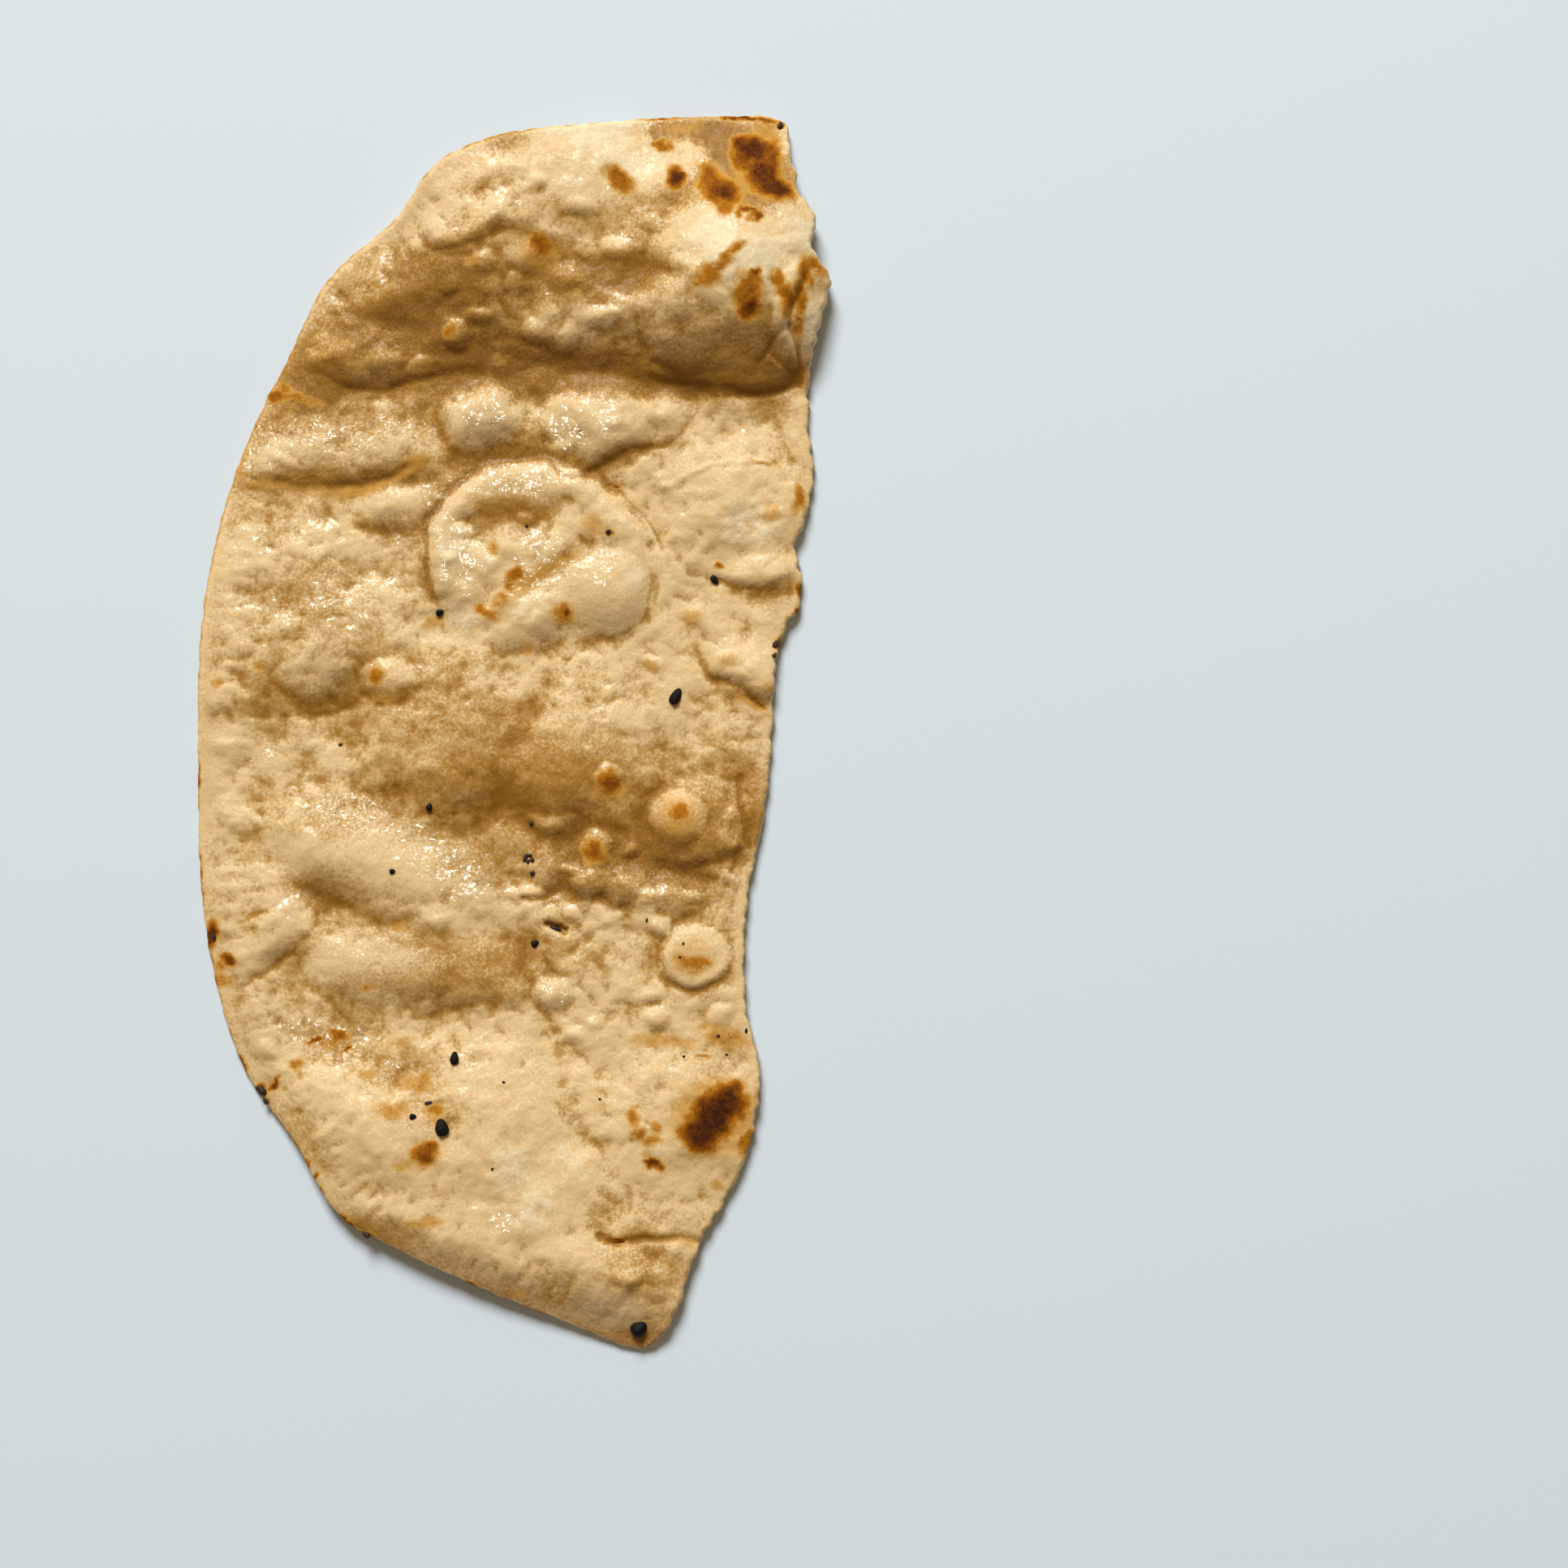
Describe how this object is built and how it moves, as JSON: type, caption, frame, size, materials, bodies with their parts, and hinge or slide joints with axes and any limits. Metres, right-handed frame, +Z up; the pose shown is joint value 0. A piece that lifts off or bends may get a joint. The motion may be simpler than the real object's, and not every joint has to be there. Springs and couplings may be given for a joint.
{
  "type": "tandoori roti half",
  "caption": "Half of a round clay-oven wheat flatbread, cut straight across, lying flat with its blistered and charred side up.",
  "frame": {"origin": "centre of the half's footprint, on the surface it lies on", "axes": "+Z up from the surface, +Y along the cut towards the tip beside the large puff, +X out through the cut edge"},
  "size_m": [0.1176, 0.2296, 0.0129],
  "materials": {
    "baked_dough": "soft baked dough, cream to tan, with a thin patchy gloss of ghee",
    "nigella_seed": "dry dull black seed",
    "char": "burnt dough flake, dark brown, rough"
  },
  "bodies": {
    "root": {"roti_half": "baked_dough"}
  },
  "joints": []
}
